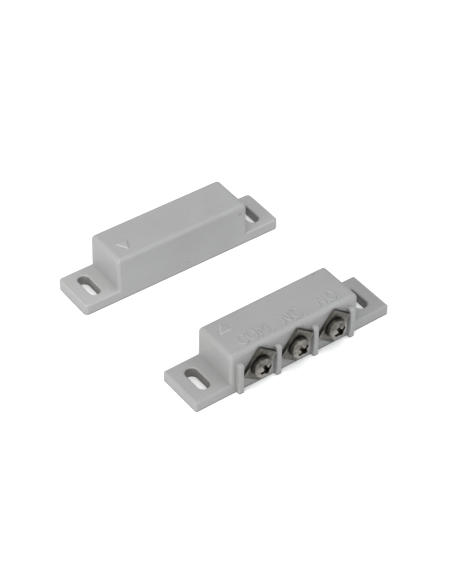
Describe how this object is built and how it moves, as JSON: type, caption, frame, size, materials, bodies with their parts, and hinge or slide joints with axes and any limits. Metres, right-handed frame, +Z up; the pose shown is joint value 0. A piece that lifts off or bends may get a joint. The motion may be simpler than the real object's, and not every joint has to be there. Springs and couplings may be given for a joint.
{
  "type": "surface magnetic contact",
  "caption": "Surface magnetic door contact: grey switch block with barrier ribs and clamp screw terminals along one side, and its matching magnet block, both with slotted ears.",
  "frame": {"origin": "centre of the switch unit's mounting face", "axes": "+X along both units, -Y out of the terminal side, +Y towards the magnet unit, +Z up from the mounting surface"},
  "size_m": [0.063, 0.0616, 0.013],
  "materials": {
    "housing_plastic": "fine moulded satin, light warm grey",
    "cover_plastic": "flat moulded, light warm grey",
    "brass": "turned and stamped, tinned tail",
    "plate_steel": "dull nickel plate",
    "washer_steel": "dark spring steel",
    "screw_steel": "nickel plate, tumbled",
    "glass": "clear green glass",
    "reed_alloy": "tinned nickel iron",
    "magnet": "ground alnico"
  },
  "bodies": {
    "root": {"switch_housing": "housing_plastic", "magnet_housing": "housing_plastic", "switch_back_cover": "cover_plastic", "magnet_back_cover": "cover_plastic", "com_insert": "brass", "nc_insert": "brass", "no_insert": "brass", "com_clamp_plate": "plate_steel", "nc_clamp_plate": "plate_steel", "no_clamp_plate": "plate_steel", "com_lock_washer": "washer_steel", "nc_lock_washer": "washer_steel", "no_lock_washer": "washer_steel", "com_screw": "screw_steel", "nc_screw": "screw_steel", "no_screw": "screw_steel", "reed_glass": "glass", "reed_common": "reed_alloy", "reed_nc": "reed_alloy", "reed_no": "reed_alloy", "bar_magnet": "magnet"}
  },
  "joints": []
}
